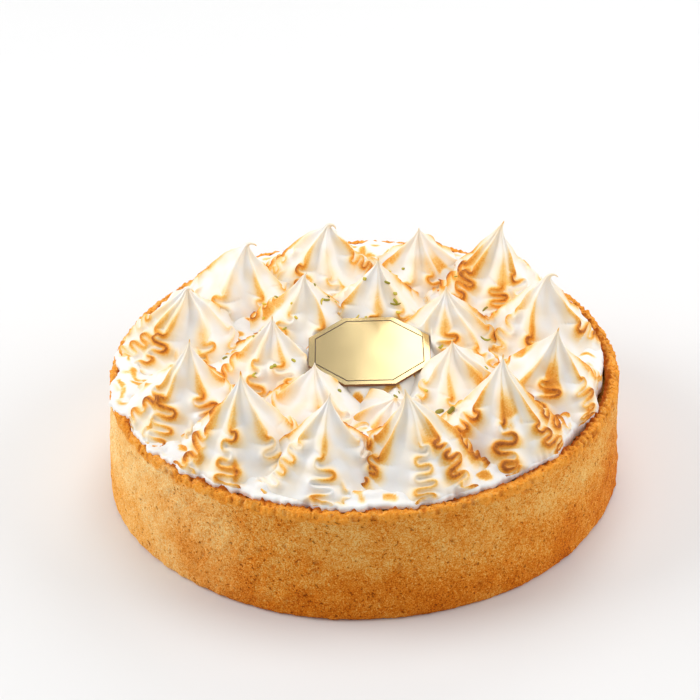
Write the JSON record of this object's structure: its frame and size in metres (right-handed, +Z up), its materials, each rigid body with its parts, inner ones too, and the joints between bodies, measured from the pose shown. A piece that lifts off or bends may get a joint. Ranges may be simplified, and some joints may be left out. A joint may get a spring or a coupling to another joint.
{
  "type": "lemon meringue pie",
  "caption": "Deep lemon meringue pie: straight shortcrust shell covered with piped, torched meringue kisses, flecks of lime zest and a gold octagonal card.",
  "frame": {"origin": "centre of the pie's foot, on the surface it stands on", "axes": "+Z up; -Y is the side that faces the viewer, +X is the viewer's right"},
  "size_m": [0.243, 0.243, 0.0977],
  "materials": {
    "crust": "dry, sandy baked shortcrust, deeper brown at the foot and along the rim",
    "meringue": "soft satin meringue, white in the grooves and torched amber to brown along the ridges",
    "card": "gold mirror foil on card, with a thin dark line inside the edge"
  },
  "bodies": {
    "root": {"crust": "crust", "meringue": "meringue", "card": "card"}
  },
  "joints": []
}
